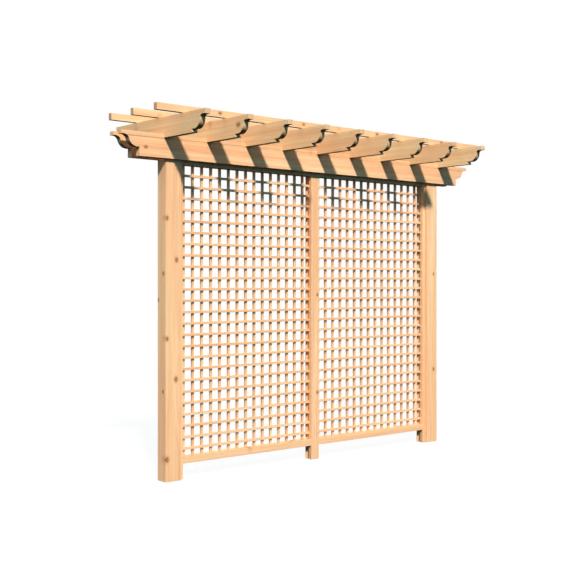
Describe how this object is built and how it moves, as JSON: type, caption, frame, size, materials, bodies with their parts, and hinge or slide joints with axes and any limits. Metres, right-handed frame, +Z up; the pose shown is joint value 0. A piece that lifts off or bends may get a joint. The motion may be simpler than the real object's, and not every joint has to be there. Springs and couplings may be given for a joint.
{
  "type": "pergola",
  "caption": "Free-standing cedar wall pergola: posts with lattice bays carry a two-board header with ogee ends, notched rafters and purlins.",
  "frame": {"origin": "on the ground, under the middle of the header", "axes": "+X along the header to the right seen from the front, -Y towards the front, +Z up"},
  "size_m": [3.874, 1.202, 2.796],
  "materials": {
    "post_cedar": "sawn and planed clear cedar, unfinished",
    "frame_cedar": "sawn and planed clear cedar, unfinished",
    "lattice_cedar": "sawn and planed clear cedar, unfinished",
    "beam_cedar": "sawn and planed clear cedar, unfinished",
    "rafter_cedar": "sawn and planed clear cedar, unfinished",
    "purlin_cedar": "sawn and planed clear cedar, unfinished",
    "screw_steel": "coated structural screw"
  },
  "bodies": {
    "root": {"end_post_left": "post_cedar", "end_post_right": "post_cedar", "centre_post": "post_cedar", "stile_left": "frame_cedar", "stile_right": "frame_cedar", "bottom_rail_left": "frame_cedar", "bottom_rail_right": "frame_cedar", "top_rail_left": "frame_cedar", "top_rail_right": "frame_cedar", "lattice_horizontals_left": "lattice_cedar", "lattice_horizontals_right": "lattice_cedar", "lattice_verticals_left": "lattice_cedar", "lattice_verticals_right": "lattice_cedar", "header_board_front": "beam_cedar", "header_board_rear": "beam_cedar", "purlin_front": "purlin_cedar", "purlin_middle": "purlin_cedar", "purlin_rear": "purlin_cedar", "purlin_screws": "screw_steel", "rafter_screws": "screw_steel", "beam_screws": "screw_steel", "stile_screws": "screw_steel", "top_rail_screws": "screw_steel", "rafter_1": "rafter_cedar", "rafter_2": "rafter_cedar", "rafter_3": "rafter_cedar", "rafter_4": "rafter_cedar", "rafter_5": "rafter_cedar", "rafter_6": "rafter_cedar", "rafter_7": "rafter_cedar", "rafter_8": "rafter_cedar", "rafter_9": "rafter_cedar"}
  },
  "joints": []
}
